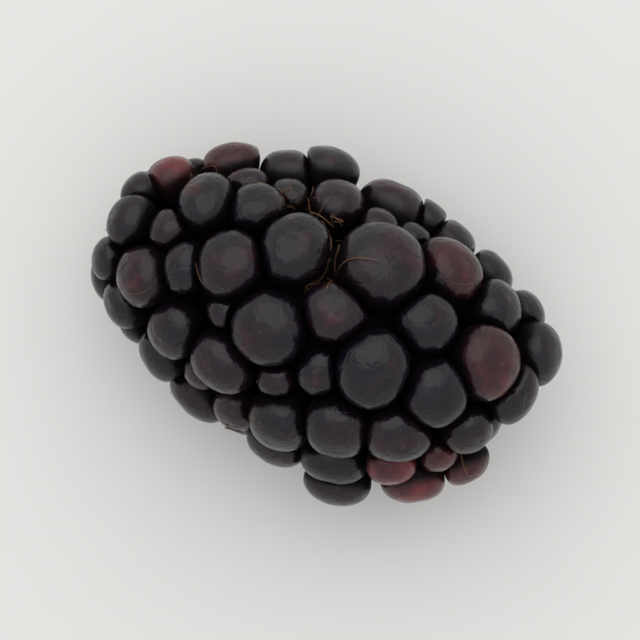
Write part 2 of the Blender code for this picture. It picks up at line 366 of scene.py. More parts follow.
def lathe_faces(rings: int, around: int) -> list[list[int]]:
    """Faces of a turned closed body whose first and last points are its two poles.

    Args:
        rings: Rings between the poles.
        around: Points in a ring.

    Returns:
        Quads between the rings and a fan of triangles at each pole.
    """
    grid = 1 + np.arange(rings * around).reshape(rings, around)
    turned = np.roll(grid, -1, axis=1)
    quads = np.stack([grid[:-1], turned[:-1], turned[1:], grid[1:]], axis=-1).reshape(-1, 4)
    last = rings * around + 1
    start = np.stack([np.zeros(around, int), turned[0], grid[0]], axis=-1)
    end = np.stack([np.full(around, last), grid[-1], turned[-1]], axis=-1)
    return quads.tolist() + start.tolist() + end.tolist()


def make_piece(name: str, points: Array, faces: list | Array, marks: dict[str, Array]) -> bpy.types.Object:
    """Put a finished mesh into the scene at the origin.

    Args:
        name: The piece's name.
        points: Its vertices.
        faces: Rows of vertex numbers.
        marks: Values kept on the vertices, by name, for the materials to read.

    Returns:
        The new object, shaded smooth.
    """
    mesh = bpy.data.meshes.new(name)
    mesh.from_pydata(points.tolist(), [], faces.tolist() if isinstance(faces, Array) else faces)
    for mark, values in marks.items():
        layer = mesh.attributes.new(mark, "FLOAT", "POINT")
        layer.data.foreach_set("value", np.ascontiguousarray(values, dtype=np.float32))
    mesh.shade_smooth()
    piece = bpy.data.objects.new(name, mesh)
    bpy.context.scene.collection.objects.link(piece)
    return piece


class Port:
    """An output socket of a shader node, so that shader maths reads as arithmetic."""

    def __init__(self, tree: "Tree", socket: bpy.types.NodeSocket) -> None:
        """Keep the socket and the tree that it belongs to."""
        self.tree = tree
        self.socket = socket

    def maths(self, operation: str, *values: "Port | float") -> "Port":
        """A Math node on the given values, in their order."""
        return self.tree.add("Math", {"operation": operation}, dict(enumerate(values)))

    def __add__(self, other: "Port | float") -> "Port":
        """Sum."""
        return self.maths("ADD", self, other)

    __radd__ = __add__

    def __sub__(self, other: "Port | float") -> "Port":
        """Difference."""
        return self.maths("SUBTRACT", self, other)

    def __rsub__(self, other: float) -> "Port":
        """Difference, taken from a number."""
        return self.maths("SUBTRACT", other, self)

    def __mul__(self, other: "Port | float") -> "Port":
        """Product."""
        return self.maths("MULTIPLY", self, other)

    __rmul__ = __mul__

    def between(self, low: float, high: float) -> "Port":
        """Smooth step from 0 at low to 1 at high."""
        settings = {"interpolation_type": "SMOOTHSTEP"}
        return self.tree.add("MapRange", settings, {"Value": self, "From Min": low, "From Max": high})


class Tree:
    """A material's shader nodes, added one after another."""

    def __init__(self, name: str) -> None:
        """Start a material with only its output and its Principled shader.

        Args:
            name: The material's name.
        """
        self.material = bpy.data.materials.new(name)
        self.material.use_nodes = True
        self.nodes = self.material.node_tree.nodes
        self.links = self.material.node_tree.links
        self.shader = self.nodes["Principled BSDF"]

    def add(self, kind: str, settings: dict, inputs: dict, output: int | str = 0) -> Port:
        """Add a node.

        Args:
            kind: The node's type, without ShaderNode.
            settings: Its own settings, made first.
            inputs: Numbers, colours or ports for its sockets, by name or number.
            output: Which output socket is wanted.

        Returns:
            The wanted output.
        """
        node = self.nodes.new("ShaderNode" + kind)
        for key, value in settings.items():
            setattr(node, key, value)
        for key, value in inputs.items():
            self.feed(node.inputs[key], value)
        return Port(self, node.outputs[output])

    def feed(self, socket: bpy.types.NodeSocket, value: "Port | float | Colour") -> None:
        """Link a port to an input socket, or set the socket's own value.

        Args:
            socket: The input socket.
            value: The port, or the value.
        """
        if isinstance(value, Port):
            self.links.new(value.socket, socket)
        else:
            socket.default_value = value

    def mix(self, share: "Port | float", first: "Port | Colour", second: "Port | Colour") -> Port:
        """Colour between two colours.

        Args:
            share: 0 for the first colour, 1 for the second.
            first: The first colour.
            second: The second colour.

        Returns:
            The mixed colour.
        """
        return self.add("Mix", {"data_type": "RGBA"}, {0: share, 6: first, 7: second}, 2)

    def place(self) -> Port:
        """The point's place in the frame."""
        return self.add("TexCoord", {}, {}, "Object")

    def mark(self, name: str) -> Port:
        """A value kept on the vertices."""
        return self.add("Attribute", {"attribute_name": name}, {}, "Fac")

    def noise(self, scale: float, detail: float = 2.0, roughness: float = 0.5) -> Port:
        """Cloudy noise on the point's place.

        Args:
            scale: Features to a metre.
            detail: Octaves.
            roughness: Strength of each finer octave.

        Returns:
            Values round one half.
        """
        inputs = {"Vector": self.place(), "Scale": scale, "Detail": detail, "Roughness": roughness}
        return self.add("TexNoise", {}, inputs, "Fac")

    def streaks(self, scale: float, strength: float) -> Port:
        """Short soft wrinkles: thin lines where a warped noise crosses its middle.

        Args:
            scale: Features to a metre.
            strength: How fast a line fades to its sides.

        Returns:
            1 on open skin and 0 in the middle of a wrinkle.
        """
        inputs = {"Vector": self.place(), "Scale": scale, "Detail": 2.0, "Distortion": 0.8}
        level = self.add("TexNoise", {}, inputs, "Fac") - 0.5
        return (level * level * strength).between(0.0, 1.0)

    def bump(self, height: Port, depth: float, below: "Port | None" = None) -> Port:
        """Normals of a relief.

        Args:
            height: The relief, 0 to 1.
            depth: Its depth in metres.
            below: Normals of a coarser relief that it lies on.

        Returns:
            The bent normals.
        """
        inputs = {"Strength": 1.0, "Distance": depth, "Height": height}
        if below is not None:
            inputs["Normal"] = below
        return self.add("Bump", {}, inputs)

    def overlay(self, share: Port, **sockets: "Port | float | Colour") -> None:
        """Lay a second Principled shader over the first one.

        Args:
            share: 0 where only the first shader shows and 1 where only the second does.
            sockets: What the second one's sockets take, as in finish.
        """
        second = self.nodes.new("ShaderNodeBsdfPrincipled")
        for name, value in sockets.items():
            self.feed(second.inputs[name.replace("_", " ")], value)
        inputs = {0: share, 1: Port(self, self.shader.outputs[0]), 2: Port(self, second.outputs[0])}
        mixed = self.add("MixShader", {}, inputs)
        self.feed(self.nodes["Material Output"].inputs["Surface"], mixed)

    def finish(self, **sockets: "Port | float | Colour") -> bpy.types.Material:
        """Feed the first shader's sockets.

        Args:
            sockets: What they take, by name, with underscores for spaces.

        Returns:
            The finished material.
        """
        for name, value in sockets.items():
            self.feed(self.shader.inputs[name.replace("_", " ")], value)
        return self.material


@dataclass(frozen=True)
class SkinFinish:
    """The beads' thin glossy skin over dark juice, with painted shade in the creases."""

    ink: Colour = (0.0030, 0.0030, 0.0066, 1.0)
    plum: Colour = (0.0105, 0.0036, 0.0088, 1.0)
    wine: Colour = (0.0400, 0.0064, 0.0095, 1.0)
    red: Colour = (0.1700, 0.0220, 0.0290, 1.0)
    bloom: Colour = (0.0200, 0.0170, 0.0260, 1.0)
    # Painted shade: the near-black that the creases between beads are painted with, in the skin's colour
    # and in the shader laid over them.
    painted_crease_shade: Colour = (0.0018, 0.0005, 0.0008, 1.0)
    scar: Colour = (0.0360, 0.0200, 0.0100, 1.0)
    dried: Colour = (0.0900, 0.0330, 0.0100, 1.0)
    blotch_scale: float = 420.0
    cloud_scale: float = 1000.0
    grain_scale: float = 3000.0
    pore_scale: float = 4200.0
    wrinkle_scale: float = 480.0
    wrinkle_strength: float = 120.0
    pore_depth: float = 0.020 * MM
    wrinkle_depth: float = 0.015 * MM
    pucker_depth: float = 0.14 * MM
    juice_share: float = 0.3
    juice_glow: tuple[float, float, float] = (1.0, 0.22, 0.16)
    juice_depth: float = 0.7 * MM
    # Where and how strongly a near-black, barely reflecting shader is laid over the creases as painted
    # shade.
    painted_shade_start: float = 0.06
    painted_shade_end: float = 0.48
    painted_shade_share: float = 0.90

    def make(self) -> bpy.types.Material:
        """Build the material from the marks ripeness, tone, apex, crease, scar and dried.

        Returns:
            The skin's material.
        """
        tree = Tree("drupelet_skin")
        ripeness, painted_crease_shade, apex = tree.mark("ripeness"), tree.mark("painted_crease_shade"), tree.mark("apex")
        scar, dried = tree.mark("scar"), tree.mark("dried")
        blotch = tree.noise(self.blotch_scale, 3.0, 0.55)
        cloud = tree.noise(self.cloud_scale, 4.0, 0.62)
        grain = tree.noise(self.grain_scale, 3.0, 0.6)
        pore_inputs = {"Vector": tree.place(), "Scale": self.pore_scale}
        pores = tree.add("TexVoronoi", {"feature": "F1"}, pore_inputs, "Distance")
        wrinkle = tree.streaks(self.wrinkle_scale, self.wrinkle_strength)

        dark = tree.mix((tree.mark("tone") + blotch * 1.4 - 0.7).between(0.1, 0.9), self.ink, self.plum)
        blush = ripeness + (apex - 0.6) * 0.45 + (blotch - 0.5) * 0.9 + (cloud - 0.5) * 0.4
        warm = tree.mix(blush.between(0.12, 0.55), dark, self.wine)
        redness = blush + (blotch - 0.5) * 1.1 + (cloud - 0.5) * 1.2
        flesh = tree.mix(redness.between(0.45, 1.6), warm, self.red)
        dusted = tree.mix(cloud.between(0.44, 0.72) * apex * (0.42 - ripeness * 0.25), flesh, self.bloom)
        # Painted shade: the skin darkens to near-black in the creases and down the beads' sides.
        deep = tree.mix(painted_crease_shade.between(0.25, 0.85) * (0.95 - ripeness * 0.35), dusted, self.painted_crease_shade)
        worn = tree.mix(scar.between(0.45, 0.9) * 0.7, deep, self.scar)
        shreds = dried * (cloud + grain * 0.6).between(0.72, 0.95)
        skin = tree.mix(shreds, worn, self.dried)

        rough = 0.06 + cloud * 0.16 + scar * 0.2 + shreds * 0.4 + grain * 0.06
        puckers = tree.bump(blotch + cloud * 0.6, self.pucker_depth)
        lines = tree.bump(wrinkle, self.wrinkle_depth, puckers)
        normal = tree.bump(grain - pores * 0.4, self.pore_depth, lines)
        # Painted shade: a near-black, barely reflecting shader laid over the creases.
        tree.overlay(
            painted_crease_shade.between(self.painted_shade_start, self.painted_shade_end) * self.painted_shade_share,
            Base_Color=self.painted_crease_shade,
            Roughness=0.8,
            Specular_IOR_Level=0.1,
        )
        return tree.finish(
            Base_Color=skin,
            Roughness=rough,
            Normal=normal,
            IOR=1.45,
            Subsurface_Weight=self.juice_share,
            Subsurface_Radius=self.juice_glow,
            Subsurface_Scale=self.juice_depth,
        )


@dataclass(frozen=True)
class FleshFinish:
    """The wet dark flesh down in the creases."""

    dark: Colour = (0.0010, 0.0003, 0.0005, 1.0)
    wet: Colour = (0.0040, 0.0007, 0.0011, 1.0)
    cloud_scale: float = 700.0
    relief_depth: float = 0.1 * MM

    def make(self) -> bpy.types.Material:
        """Build the material.

        Returns:
            The flesh's material.
        """
        tree = Tree("drupelet_flesh")
        cloud = tree.noise(self.cloud_scale, 3.0)
        colour = tree.mix(cloud.between(0.45, 0.7), self.dark, self.wet)
        return tree.finish(
            Base_Color=colour,
            Roughness=0.6 + cloud * 0.2,
            Normal=tree.bump(cloud, self.relief_depth),
            Specular_IOR_Level=0.1,
        )


@dataclass(frozen=True)
class PithFinish:
    """Dry fibrous pith, ochre at the torn stalk scar and stained brown at its rim."""

    pale: Colour = (0.6400, 0.3900, 0.1400, 1.0)
    cream: Colour = (0.8000, 0.5900, 0.3100, 1.0)
    scar: Colour = (0.4200, 0.2300, 0.0220, 1.0)
    stain: Colour = (0.1250, 0.0300, 0.0040, 1.0)
    cloud_scale: float = 900.0
    fibre_scale: float = 3200.0
    relief_depth: float = 0.12 * MM

    def make(self) -> bpy.types.Material:
        """Build the material from the marks core and spoke.

        Core is the share of the way out from the middle. Spoke runs from 0 to 1 across the
        fibres that fan out from it.

        Returns:
            The pith's material.
        """
        tree = Tree("receptacle_pith")
        core, spoke = tree.mark("core"), tree.mark("spoke")
        cloud = tree.noise(self.cloud_scale, 4.0, 0.6)
        fibre = tree.noise(self.fibre_scale, 3.0, 0.6)
        paleness = (cloud * 0.6 + spoke * 0.3 + fibre * 0.2).between(0.3, 0.75)
        body = tree.mix(paleness, self.pale, self.cream)
        middle = 1.0 - (core + (cloud - 0.5) * 0.3).between(0.16, 0.44)
        worn = tree.mix(middle * (0.6 + fibre * 0.6), body, self.scar)
        edge = core + (spoke - 0.5) * 0.16 + (cloud - 0.5) * 0.4
        stained = tree.mix(edge.between(0.50, 0.82), worn, self.stain)
        relief = tree.bump(fibre + cloud + spoke * core, self.relief_depth)
        return tree.finish(Base_Color=stained, Roughness=0.62 + fibre * 0.2, Normal=relief)


@dataclass(frozen=True)
class ThreadFinish:
    """Dried styles: brown threads, paler towards their tips."""

    root: Colour = (0.0450, 0.0170, 0.0070, 1.0)
    tip: Colour = (0.2200, 0.1050, 0.0420, 1.0)
    cloud_scale: float = 2500.0

    def make(self) -> bpy.types.Material:
        """Build the material from the mark reach, 0 at the root and 1 at the tip.

        Returns:
            The threads' material.
        """
        tree = Tree("dried_style")
        cloud = tree.noise(self.cloud_scale)
        colour = tree.mix(tree.mark("reach") * (0.5 + cloud), self.root, self.tip)
        return tree.finish(Base_Color=colour, Roughness=0.5 + cloud * 0.3)


@dataclass(frozen=True)
class TableFinish:
    """A plain pale table top, faintly mottled."""

    pale: Colour = (0.855, 0.850, 0.830, 1.0)
    paler: Colour = (0.880, 0.875, 0.857, 1.0)
    mottle_scale: float = 30.0

    def make(self) -> bpy.types.Material:
        """Build the material.

        Returns:
            The table's material.
        """
        tree = Tree("pale_table")
        colour = tree.mix(tree.noise(self.mottle_scale), self.pale, self.paler)
        return tree.finish(Base_Color=colour, Roughness=0.6)


@dataclass
class BeadCluster:
    """All the beads, each pressed against its neighbours, in four zones along the berry.

    A bead's surface is r(d) = (f(d)^p + sum of max(0, d.n / D)^p)^(-1/p) from its middle in
    direction d. f is the reciprocal radius of its free shape, a blunt-topped ellipsoid, and
    n and D are the direction of and the distance to the plane that it shares with a
    neighbour. So it has its free shape where it is free, and it is flattened, with a
    rounded edge, where it is pressed.
    """

    surface: CentreSurface
    layout: BeadLayout
    steps: int = 18
    outward_share: float = 0.85
    sharpness: float = 6.0
    squeeze: float = 0.09 * MM
    bluntness: float = 2.05
    axis_point_share: float = 0.55
    lump_share: float = 0.016
    lump_waves: int = 6
    lump_pace: float = 3.2
    scar_depth: float = 0.035
    scar_width: float = 0.20
    scar_lean: float = 0.16
    scar_mark_share: float = 0.45
    shade_height: float = -3.0 * MM
    ripeness_odds: tuple[float, ...] = (0.60, 0.22, 0.11, 0.05, 0.02)
    near_spans: float = 2.2
    least_plane: float = 0.1 * MM
    pressed_shade: float = 2.4
    depth_shade: float = 0.9
    shade_start: float = 0.45
    open_dryness: float = 0.3
    coarse_steps: int = 6
    zone_ends: tuple[float, ...] = (-9.6 * MM, -1.8 * MM, 6.4 * MM)
    zone_names: tuple[str, ...] = ("stem", "shoulder", "middle", "tip")
    middles: Array = field(init=False)
    halves: Array = field(init=False)
    axes: Array = field(init=False)
    ripeness: Array = field(init=False)
    waves: Array = field(init=False)
    phases: Array = field(init=False)
    tilts: Array = field(init=False)
    tones: Array = field(init=False)
    shift: Array = field(init=False)

    def __post_init__(self) -> None:
        """Place the beads and work out their axes, ripeness, relief and tones."""
        self.middles, flat_halves = self.layout.place()
        outward_halves = flat_halves.mean(axis=1, keepdims=True) * self.outward_share
        self.halves = np.hstack([flat_halves, outward_halves])
        self.axes = self.bead_axes()
        self.ripeness = self.bead_ripeness()
        chance = np.random.default_rng(self.layout.seed + 1)
        count = len(self.middles)
        self.waves = chance.normal(size=(count, self.lump_waves, 3)) * self.lump_pace
        self.phases = chance.random((count, self.lump_waves)) * math.tau
        leaning = chance.normal(size=(count, 2)) * self.scar_lean
        self.tilts = unit(np.concatenate([leaning, np.ones((count, 1))], axis=1))
        self.tones = chance.random(count)
        self.shift = self.frame_shift()

    def bead_axes(self) -> Array:
        """Axes of each bead: along the berry, around it, and outward from its axis.

        Returns:
            Three rows to a bead.
        """
        place = self.middles[:, 0]
        side = self.surface.axis_offset(place)
        foot = np.stack([place * self.axis_point_share, side, np.zeros_like(side)], axis=1)
        outward = unit(self.middles - foot)
        along = np.array([1.0, 0.0, 0.0])
        along = unit(along - outward * outward[:, :1])
        return np.stack([along, np.cross(outward, along), outward], axis=1)

    def bead_ripeness(self) -> Array:
        """Ripeness of each bead: as listed above, and by chance for the rest.

        The sun doesn't reach the beads underneath, so apart from the late beads only those
        drawn for the underside may still be red.

        Returns:
            One value to a bead, 0 for black and 1 for red.
        """
        chance = np.random.default_rng(self.layout.seed + 2)
        given = [row[4].value for row in UPPER_BEADS]
        shares = [kind.value for kind in Ripeness]
        drawn = chance.choice(shares, len(self.middles) - len(given), p=self.ripeness_odds)
        nestled = self.middles[len(given):]
        sunny = nestled[:, 2] > self.shade_height
        drawn = np.where(sunny, np.minimum(drawn, DUSKY.value), drawn)
        for along, across, kind in LATE_BEADS:
            away = np.hypot(nestled[:, 0] - along * MM, nestled[:, 1] - across * MM)
            drawn[np.argmin(np.where(nestled[:, 2] > 0.0, away, np.inf))] = kind.value
        return np.concatenate([given, drawn])

    def free_reach(self, bead: int, directions: Array) -> Array:
        """Reciprocal of a bead's free radius: (across^q + outward^q)^(1/q) of d in half-sizes.

        Args:
            bead: The bead's number.
            directions: Unit directions in berry space.

        Returns:
            One value to a direction.
        """
        local = directions @ self.axes[bead].T / self.halves[bead]
        across = np.hypot(local[..., 0], local[..., 1])
        return (across**self.bluntness + np.abs(local[..., 2]) ** self.bluntness) ** (1.0 / self.bluntness)

    def reach(self, bead: int, directions: Array) -> tuple[Array, Array]:
        """A bead's pressed radius by the class's formula, and how hard it is pressed.

        Args:
            bead: The bead's number.
            directions: Unit directions in berry space.

        Returns:
            The radius in each direction, and the share of the free radius that is lost.
        """
        apart = self.middles - self.middles[bead]
        spans = np.linalg.norm(apart, axis=1)
        near = np.flatnonzero((spans > 0.0) & (spans < self.halves.max() * self.near_spans))
        normals = apart[near] / spans[near, None]
        own = 1.0 / self.free_reach(bead, normals)
        theirs = np.array([1.0 / self.free_reach(other, -normal) for other, normal in zip(near, normals)])
        planes = (spans[near] ** 2 + own**2 - theirs**2) / (2.0 * spans[near]) + self.squeeze
        normals = np.vstack([normals, [0.0, 0.0, -1.0]])
        planes = np.append(planes, self.middles[bead, 2] + self.surface.rest_depth)
        pressed = np.clip(directions @ normals.T, 0.0, None) / np.maximum(planes, self.least_plane)
        free = self.free_reach(bead, directions)
        total = (pressed**self.sharpness).sum(axis=1) + free**self.sharpness
        radius = total ** (-1.0 / self.sharpness)
        return radius, 1.0 - radius * free

    def relief(self, bead: int, local: Array) -> Array:
        """A bead's own unevenness: a few long waves, less a dimple at the style's scar.

        Args:
            bead: The bead's number.
            local: Unit directions in the bead's axes.

        Returns:
            A factor on the radius in each direction.
        """
        waves = np.sin(local @ self.waves[bead].T + self.phases[bead]).mean(axis=1)
        away = 1.0 - local @ self.tilts[bead]
        dimple = np.exp(-away / (self.scar_width**2 / 2.0))
        return 1.0 + waves * self.lump_share - dimple * self.scar_depth

    def bead_points(self, bead: int, local: Array) -> tuple[Array, dict[str, Array]]:
        """A bead's surface, and what its skin shows there.

        Args:
            bead: The bead's number.
            local: Unit directions in the bead's axes.

        Returns:
            Points in berry space, and their marks by name: apex is 1 at the outward pole and
            0 from the sides down, the creases' mark is painted shade that grows with the squeeze
            and with depth, scar is bell-shaped round the style's scar, and dried is bell-shaped
            round each dry spot.
        """
        directions = local @ self.axes[bead]
        radius, lost = self.reach(bead, directions)
        radius = radius * np.minimum(self.relief(bead, local), 1.0)
        points = self.middles[bead] + directions * radius[:, None]
        away = 1.0 - local @ self.tilts[bead]
        # Painted shade for the creases: more where a bead is pressed flat and further down its sides.
        depth = np.clip(self.shade_start - local[:, 2], 0.0, 1.0)
        painted_crease_shade = np.clip(lost * self.pressed_shade + depth * self.depth_shade, 0.0, 1.0)
        spots = np.array(DRY_SPOTS) * MM
        near = np.linalg.norm(points[:, None, :2] - spots[None, :, :2], axis=2) / spots[:, 2]
        deep = self.open_dryness + (1.0 - self.open_dryness) * painted_crease_shade
        dried = np.exp(-(near**2)).max(axis=1) * (points[:, 2] > 0.0) * deep
        marks = {
            "ripeness": np.full(len(local), self.ripeness[bead]),
            "tone": np.full(len(local), self.tones[bead]),
            "apex": np.clip(local[:, 2], 0.0, 1.0),
            "painted_crease_shade": painted_crease_shade,
            "scar": np.exp(-away / ((self.scar_width * self.scar_mark_share) ** 2 / 2.0)),
            "dried": dried,
        }
        return points, marks

    def frame_shift(self) -> Array:
        """Move from berry space to the frame's space, so that the two boxes' middles agree.

        Returns:
            What to add to a point.
        """
        local, _ = ball_grid(self.coarse_steps)
        points = np.concatenate([self.bead_points(bead, local)[0] for bead in range(len(self.middles))])
        low, high = (np.array(corner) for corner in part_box("drupelets"))
        shift = (low + high) / 2.0 - (points.min(axis=0) + points.max(axis=0)) / 2.0
        shift[2] = self.surface.rest_depth + low[2]
        return shift

    def build(self, skin: bpy.types.Material) -> list[bpy.types.Object]:
        """Make the beads, as one piece to a zone.

        Args:
            skin: The beads' material.

        Returns:
            The new pieces.
        """
        local, quads = ball_grid(self.steps)
        zones = np.searchsorted(self.zone_ends, self.middles[:, 0])
        pieces = []
        for zone, name in enumerate(self.zone_names):
            beads = np.flatnonzero(zones == zone)
            made = [self.bead_points(bead, local) for bead in beads]
            points = np.concatenate([points for points, _ in made]) + self.shift
            faces = np.concatenate([quads + len(local) * turn for turn in range(len(beads))])
            marks = {mark: np.concatenate([marks[mark] for _, marks in made]) for mark in made[0][1]}
            piece = make_piece("drupelets_" + name, points, faces, marks)
            piece.data.materials.append(skin)
            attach(piece, BODY)
            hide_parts("drupelets")
            pieces.append(piece)
        return pieces


@dataclass
class Flesh:
    """The flesh behind the beads, a turned body with a socket for the receptacle."""

    surface: CentreSurface
    shift: Array
    sunk: float = 1.9 * MM
    tip: float = 12.0 * MM
    around: int = 64
    along_steps: int = 40
    socket_mouth: float = -15.4 * MM
    socket_end: float = 3.1 * MM
    socket_mouth_radius: float = 2.7 * MM
    lip_width: float = 0.2 * MM
    socket_end_radius: float = 1.15 * MM
    socket_steps: int = 12

    def build(self, finish: bpy.types.Material) -> bpy.types.Object:
        """Turn the profile: up the socket's wall, over its lip, and down the outside.

        The outside follows the beads' middles, sunk below them, and never comes closer to the
        axis than the lip until it is past halfway.

        Args:
            finish: The flesh's material.

        Returns:
            The new piece.
        """
        inner = np.linspace(self.socket_end, self.socket_mouth, self.socket_steps)
        inner_radius = np.linspace(self.socket_end_radius, self.socket_mouth_radius, self.socket_steps)
        turn = np.linspace(0.0, math.pi, self.along_steps)
        middle = (self.tip + self.surface.stem_limit) / 2.0
        half = (self.tip - self.surface.stem_limit) / 2.0
        outer = middle - half * np.cos(turn)
        lip = np.where(outer < 0.0, self.socket_mouth_radius + self.lip_width, 0.0)
        outer_radius = np.maximum(self.surface.radius(outer) - self.sunk, lip)
        along = np.concatenate([inner, outer])
        radius = np.concatenate([inner_radius, outer_radius])
        side = np.concatenate([np.zeros_like(inner), self.surface.axis_offset(outer)])
        angle = np.arange(self.around) / self.around * math.tau
        across = side[:, None] + radius[:, None] * np.cos(angle)
        height = np.maximum(radius[:, None] * np.sin(angle), self.sunk - self.surface.pressed_depth)
        rings = np.stack([np.broadcast_to(along[:, None], across.shape), across, height], axis=-1)
        start = [[along[0], side[0], 0.0]]
        end = [[along[-1], side[-1], 0.0]]
        points = np.concatenate([start, rings.reshape(-1, 3), end]) + self.shift
        piece = make_piece("drupelet_flesh", points, lathe_faces(len(along), self.around), {})
        piece.data.materials.append(finish)
        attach(piece, BODY)
        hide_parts("drupelets")
        return piece


@dataclass
class Receptacle:
    """The pith cone with its torn end, where the stalk came away."""

    shift: Array
    mouth: float = -15.1 * MM
    length: float = 17.8 * MM
    mouth_radius: float = 2.4 * MM
    end_radius: float = 0.9 * MM
    crown: float = 0.55 * MM
    crown_power: float = 3.0
    scar_radius: float = 0.95 * MM
    scar_depth: float = 0.6 * MM
    fold_depth: float = 0.14 * MM
    fold_waves: tuple[tuple[int, float], ...] = ((3, 0.30), (5, 0.25), (9, 0.25), (17, 0.3), (29, 0.3))
    fold_spread: float = 0.03
    tear_depth: float = 0.03 * MM
    fibre_contrast: float = 0.4
    fibre_stray: float = 0.12
    first_ring: float = 0.04
    seed: int = 17
    around: int = 96
    face_rings: int = 28
    wall_rings: int = 14

    def build(self, finish: bpy.types.Material) -> bpy.types.Object:
        """Turn the torn face and the cone's wall, with radial tears and a ragged rim.

        Args:
            finish: The pith's material.

        Returns:
            The new piece.
        """
        chance = np.random.default_rng(self.seed)
        share = np.linspace(self.first_ring, 1.0, self.face_rings)
        wall = np.linspace(0.0, 1.0, self.wall_rings + 1)[1:]
        crown = self.crown * (1.0 - share**self.crown_power)
        pit = self.scar_depth * np.exp(-((share * self.mouth_radius / self.scar_radius) ** 4))
        face_along = self.mouth - crown + pit
        wall_along = self.mouth + self.length * wall
        along = np.concatenate([face_along, wall_along])
        radius = np.concatenate([
            share * self.mouth_radius,
            self.mouth_radius + (self.end_radius - self.mouth_radius) * wall,
        ])
        core = np.concatenate([share, np.ones_like(wall)])
        angle = np.arange(self.around) / self.around * math.tau
        folds = sum(
            np.sin(angle * count + chance.random() * math.tau) * strength
            for count, strength in self.fold_waves
        )
        on_face = np.concatenate([np.sin(share * math.pi) ** 0.5, np.zeros_like(wall)])
        tears = chance.normal(size=(len(along), self.around)) * self.tear_depth
        place = along[:, None] + (folds * self.fold_depth + tears) * on_face[:, None]
        spread = radius[:, None] * (1.0 + self.fold_spread * folds * core[:, None])
        rings = np.stack([place, spread * np.cos(angle), spread * np.sin(angle)], axis=-1)
        start = [[face_along[0], 0.0, 0.0]]
        end = [[wall_along[-1], 0.0, 0.0]]
        points = np.concatenate([start, rings.reshape(-1, 3), end]) + self.shift
        strays = chance.normal(size=(len(along), self.around)) * self.fibre_stray
        fibres = np.clip(0.5 + folds * self.fibre_contrast + strays, 0.0, 1.0)
        marks = {
            "core": np.concatenate([[0.0], np.repeat(core, self.around), [1.0]]),
            "spoke": np.concatenate([[0.5], fibres.reshape(-1), [0.5]]),
        }
        faces = [face[::-1] for face in lathe_faces(len(along), self.around)]
        piece = make_piece("receptacle_pith", points, faces, marks)
        piece.data.materials.append(finish)
        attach(piece, BODY)
        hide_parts("receptacle")
        return piece


